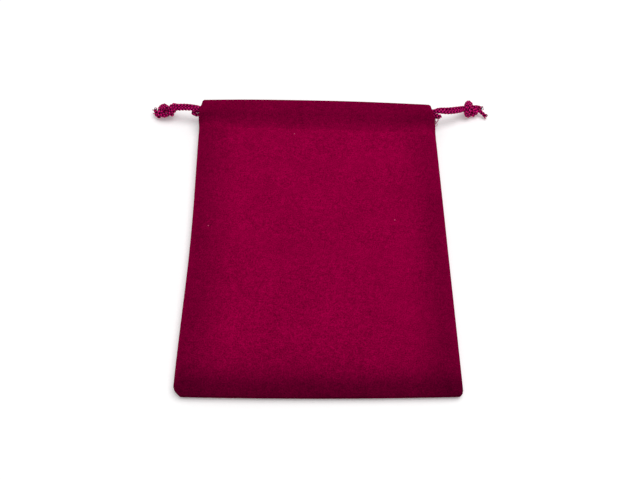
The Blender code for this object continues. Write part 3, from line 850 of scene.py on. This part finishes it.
def tie_knot(beads=96, steps=1500, touch=0.93):
    """Pulls a two-strand overhand knot tight: strings of beads that can't pass through each other."""
    middle = resample(smooth_curve(OVERHAND, 12), beads)
    along = unit(np.gradient(middle, axis=0))
    aside = unit(np.stack([-along[:, 1], along[:, 0], np.zeros(beads)], 1))
    place = np.vstack([middle - aside * STRAND_OFFSET, middle + aside * STRAND_OFFSET])
    strand = np.repeat([0, 1], beads)
    order = np.tile(np.arange(beads), 2)
    held = (order < 2) | (order > beads - 3)
    spacing = np.linalg.norm(np.diff(middle, axis=0), axis=1).mean()
    first, second = np.triu_indices(2 * beads, 1)
    same = strand[first] == strand[second]
    apart = np.abs(order[first] - order[second])
    for step in range(steps):
        link = mix(spacing, TIGHT_SPACING, min(1.0, step / (0.7 * steps)))
        free = ~(same & (apart * max(link, 0.2) < NO_TOUCH))
        a, b = first[free], second[free]
        gap = place[b] - place[a]
        length = np.linalg.norm(gap, axis=1)
        hit = length < touch
        a, b, gap, length = a[hit], b[hit], gap[hit], length[hit]
        push = ((touch - length) / length * 0.5)[:, None] * gap
        move = np.zeros_like(place)
        hits = np.zeros(len(place))
        for index, sign in ((b, 1), (a, -1)):
            np.add.at(move, index, sign * push)
            np.add.at(hits, index, 1)
        move /= np.maximum(1, hits * 0.5)[:, None]
        move[held] = 0
        place += move
        for start in (0, beads):
            cord, fixed = place[start: start + beads], held[start: start + beads]
            for first_bead in (0, 1, 0, 1):
                low = np.arange(first_bead, beads - 1, 2)
                gap = cord[low + 1] - cord[low]
                length = np.linalg.norm(gap, axis=1)
                pull = (0.15 * (length - link) / length)[:, None] * gap
                cord[low] += np.where(fixed[low][:, None], 0, pull)
                cord[low + 1] -= np.where(fixed[low + 1][:, None], 0, pull)
            ease = 0.06 * ((cord[:-2] + cord[2:]) / 2 - cord[1:-1])
            ease[fixed[1:-1]] = 0
            cord[1:-1] += ease
    return place.reshape(2, beads, 3)


def side_point(side, out, below, z):
    x = side * (HALF_WIDTH + out * MM)
    return np.array([x, mouth_line(x) - below * MM, z * MM])


def side_points(side, places):
    return np.array([side_point(side, *place) for place in places])


def lane_points(side, below, z):
    """The straight part of a cord inside a casing, from one side to the other."""
    half = HALF_WIDTH - LANE_END
    across = side * np.linspace(half, -half, LANE_POINTS)
    return np.array([(x, mouth_line(x) - below, z) for x in across])


def rotated(points, degrees, axis):
    """Points turned about the axis with that index."""
    first, second = (axis + 1) % 3, (axis + 2) % 3
    cos, sin = math.cos(math.radians(degrees)), math.sin(math.radians(degrees))
    turned = points.copy()
    turned[..., first] = cos * points[..., first] - sin * points[..., second]
    turned[..., second] = sin * points[..., first] + cos * points[..., second]
    return turned


# Where each knot's middle is, outside, below the mouth line and above the table, and its cut ends, all in mm;
# how it is turned about X, Y and Z, in degrees; and how it is stretched.
KNOTS = {
    "left": {"centre": (19.2, 1.8, 4.75), "turns": (210, 30, 16), "stretch": (0.93, 1.18, 1.08),
             "tails": [(26.2, 0.1, 4.1), (25.6, 2.0, 3.3)]},
    "right": {"centre": (19.4, -5.3, 4.6), "turns": (0, 8, 6), "stretch": (0.88, 1.04, 1.0),
              "tails": [(26.6, -5.2, 5.0), (29.0, -2.4, 1.6)]},
}
KNOT_REACH = 3.8 * MM        # the tied shape is used this far from the knot's middle towards the pouch
TAIL_REACH = 4.2 * MM        # and this far towards the tails
TIGHT_REACH = 2.2            # the knot itself reaches this far from its middle, in cord diameters
KNOT_OFF_TABLE = 0.15 * MM
TIED = tie_knot()


def placed_knot(side, centre, turns, stretch):
    """The tied knot's two strands in the row frame. They enter from the pouch's side."""
    turn, tilt, yaw = turns
    shape = rotated(rotated(TIED, turn, 0), tilt, 1)
    tight = np.abs(shape[..., 0]) < TIGHT_REACH
    shape = rotated(shape, yaw, 2)
    shape = shape - (shape[tight].max(0) + shape[tight].min(0)) / 2
    shape = shape * CORD * stretch
    if side < 0:
        shape = shape * (-1, -1, 1)
    shape = shape + centre
    lowest = shape[np.abs(shape[..., 0] - centre[0]) < TAIL_REACH][:, 2].min()
    return shape + (0, 0, CORD / 2 + KNOT_OFF_TABLE - lowest)


def strand_through_knot(knot, strand, centre, tail):
    """A strand's points from the knot's entry to its cut end."""
    points = knot[strand]
    away = np.abs(points[:, 0] - centre[0])
    first = np.where(away < KNOT_REACH)[0][0]
    last = np.where(away < TAIL_REACH)[0][-1]
    tangle = points[first: last + 1: 2]
    return np.vstack([tangle, tail[None]])


def in_order(places, others):
    """Whether two places are nearer to the two others as they come than crosswise."""
    gaps = np.linalg.norm(np.array(places)[:, None] - np.array(others)[None], axis=2)
    return gaps[0, 0] + gaps[1, 1] <= gaps[0, 1] + gaps[1, 0]


def outside_points(places):
    """How many places of a list come before the first that is at the casing's exit."""
    return [out < EXIT_OUT for out, below, height in places].index(True)


def cord_route(word, below, front, bight, back):
    """The cord's whole route, and the rings where its front and back free strands meet the casing."""
    side = SIDES[word]
    spec = KNOTS[word]
    centre = side_point(side, *spec["centre"])
    knot = placed_knot(side, centre, spec["turns"], spec["stretch"])
    front_points = side_points(side, front)
    back_points = side_points(side, back)
    inside = [strand[np.abs(strand[:, 0] - centre[0]) < KNOT_REACH] for strand in knot]
    entries = [strand[0] for strand in inside]
    order = (0, 1) if in_order(entries, [front_points[0], back_points[-1]]) else (1, 0)
    tails = side_points(side, spec["tails"])
    if not in_order([inside[strand][-1] for strand in order], tails):
        tails = tails[::-1]
    first = strand_through_knot(knot, order[0], centre, tails[0])[::-1]
    last = strand_through_knot(knot, order[1], centre, tails[1])
    held = np.vstack([front_points,
                      lane_points(side, below, FRONT_CORD_Z),
                      side_points(-side, bight),
                      lane_points(side, below, BACK_CORD_Z)[::-1],
                      back_points])
    route = smooth_curve(np.vstack([first, held, last]), ROUTE_STEPS)
    front_exit = (len(first) + outside_points(front)) * ROUTE_STEPS
    back_exit = (len(first) + len(held) - 1 - outside_points(back[::-1])) * ROUTE_STEPS
    along = lengths_along(route)
    count = int(along[-1] / RING) + 1
    spread = resample(route, count)
    cuts = [int(round(along[index] / along[-1] * (count - 1))) for index in (front_exit, back_exit)]
    for _ in range(ROUTE_EASE):
        spread[1:-1] = (spread[:-2] + 2 * spread[1:-1] + spread[2:]) / 4
    return spread, cuts


def braid(builder, route, frames, start, end, sides, frayed_start, frayed_end):
    """Yarns over and under each other between two rings of the route."""
    tangent, across, other = (part[start: end + 1] for part in frames)
    place = np.arange(start, end + 1) * RING
    points = route[start: end + 1]
    loose = np.zeros(len(points))
    if frayed_start:
        loose = np.maximum(loose, smooth(1 - (place - place[0]) / FRAY_LENGTH))
    if frayed_end:
        loose = np.maximum(loose, smooth(1 - (place[-1] - place) / FRAY_LENGTH))
    for turn in (1, -1):
        for yarn in range(YARNS):
            angle = turn * 2 * np.pi * place / LAY + 2 * np.pi * yarn / YARNS
            radial = np.cos(angle)[:, None] * across + np.sin(angle)[:, None] * other
            over = turn * np.cos(2 * np.pi * YARNS * place / LAY)
            reach = BRAID_RADIUS + BRAID_WAVE * over + loose * FRAY_SPREAD
            # painted shade where the yarn passes under, painted highlight where it passes over
            painted_light = mix(*BRAID_PAINTED_LIGHT, ((1 + over) / 2) ** BRAID_PAINTED_LIGHT_POWER)
            radius = YARN_WIDTH / 2 * (YARN_SWELL[0] + YARN_SWELL[1] * over - FRAY_THIN * loose)
            builder.add_tube(points + radial * reach[:, None], radius, sides, YARN_THICKNESS / YARN_WIDTH,
                             radial, painted_light)


def make_cord(word, below, front, bight, back):
    """A whole cord in three pieces: a free strand, the run inside the casings, and the other free strand."""
    route, cuts = cord_route(word, below, front, bight, back)
    frames = frames_along(route)
    last = len(route) - 1
    spans = {"front_strand": (0, cuts[0], 6), "run": (cuts[0], cuts[1], 4), "back_strand": (cuts[1], last, 6)}
    for part, (start, end, sides) in spans.items():
        builder = Builder()
        braid(builder, route, frames, start, end, sides, start == 0, end == last)
        piece = builder.finish(f"{word}_cord_{part}", YARN)
        core_start = start + (CORE_INSET if start == 0 else 0)
        core_end = end - (CORE_INSET if end == last else 0)
        core_builder = Builder()
        core_builder.add_tube(route[core_start: core_end + 1: 2], CORE_RADIUS, 8)
        inner = core_builder.finish(f"{word}_cord_{part}_core", SHADE_CORE)
        for item in (piece, inner):
            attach(item, f"{word}_cord")
        if part != "run":
            path = route[start: end + 1]
            if part == "front_strand":
                path = path[::-1]
    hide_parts(f"{word}_drawcord")
    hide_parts(f"{word}_knot", f"{word}_tail_a")
    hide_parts(f"{word}_tail_b")


make_cord("left", LOWER_LANE, LEFT_FRONT, RIGHT_SIDE_BIGHT, LEFT_BACK)
make_cord("right", UPPER_LANE, RIGHT_FRONT, LEFT_SIDE_BIGHT, RIGHT_BACK)


# ---------------------------------------------------------------- table, light, camera

FLOOR_REACH = 2.5
FLOOR_GLOW = 0.17            # keeps the table's shadows as pale as bright surroundings do
SKY = 0.48
LAMP_PLACE = (0.30, 0.06, 1.3)
LAMP_SIZE = 1.0
LAMP_POWER = 10.8
CAMERA_PLACE = (0.0012, -0.2900, 0.394)
CAMERA_DOWN = 53.45          # degrees below the horizon
SENSOR = 36
LENS = 55.125

floor_nodes = Nodes("white_table")
floor_colour = floor_nodes.ramp(floor_nodes.noise(9, 2.0),
                                [(0.3, (0.93, 0.93, 0.93)), (0.7, (0.95, 0.95, 0.95))])
floor_rough = floor_nodes.remap(floor_nodes.noise(40), 0.3, 0.7, 0.75, 0.85)
floor_normal = floor_nodes.bump(floor_nodes.noise(900), 0.02 * MM, 0.2)
TABLE = floor_nodes.finish(floor_colour, floor_rough, floor_normal, Specular_IOR_Level=0.1,
                           Emission_Color=(1.0, 1.0, 1.0, 1.0), Emission_Strength=FLOOR_GLOW)
floor_corners = [(-FLOOR_REACH, -FLOOR_REACH, 0), (FLOOR_REACH, -FLOOR_REACH, 0),
                 (FLOOR_REACH, FLOOR_REACH, 0), (-FLOOR_REACH, FLOOR_REACH, 0)]
floor = add_mesh("floor", floor_corners, [[0, 1, 2, 3]], TABLE, False)

world = bpy.data.worlds.new("studio")
world.use_nodes = True
world.node_tree.nodes["Background"].inputs["Color"].default_value = (1, 1, 1, 1)
world.node_tree.nodes["Background"].inputs["Strength"].default_value = SKY
bpy.context.scene.world = world

lamp = bpy.data.lights.new("overhead", "AREA")
lamp.shape = "SQUARE"
lamp.size = LAMP_SIZE
lamp.energy = LAMP_POWER
overhead = bpy.data.objects.new("overhead", lamp)
overhead.location = LAMP_PLACE
overhead.rotation_euler = (-Vector(LAMP_PLACE)).to_track_quat("-Z", "Y").to_euler()
bpy.context.scene.collection.objects.link(overhead)

camera = bpy.data.cameras.new("camera")
camera.lens = LENS
camera.sensor_width = SENSOR
viewpoint = bpy.data.objects.new("camera", camera)
viewpoint.location = CAMERA_PLACE
viewpoint.rotation_euler = (math.radians(90 - CAMERA_DOWN), 0, 0)
bpy.context.scene.collection.objects.link(viewpoint)
bpy.context.scene.camera = viewpoint
bpy.context.scene.view_settings.view_transform = "Standard"
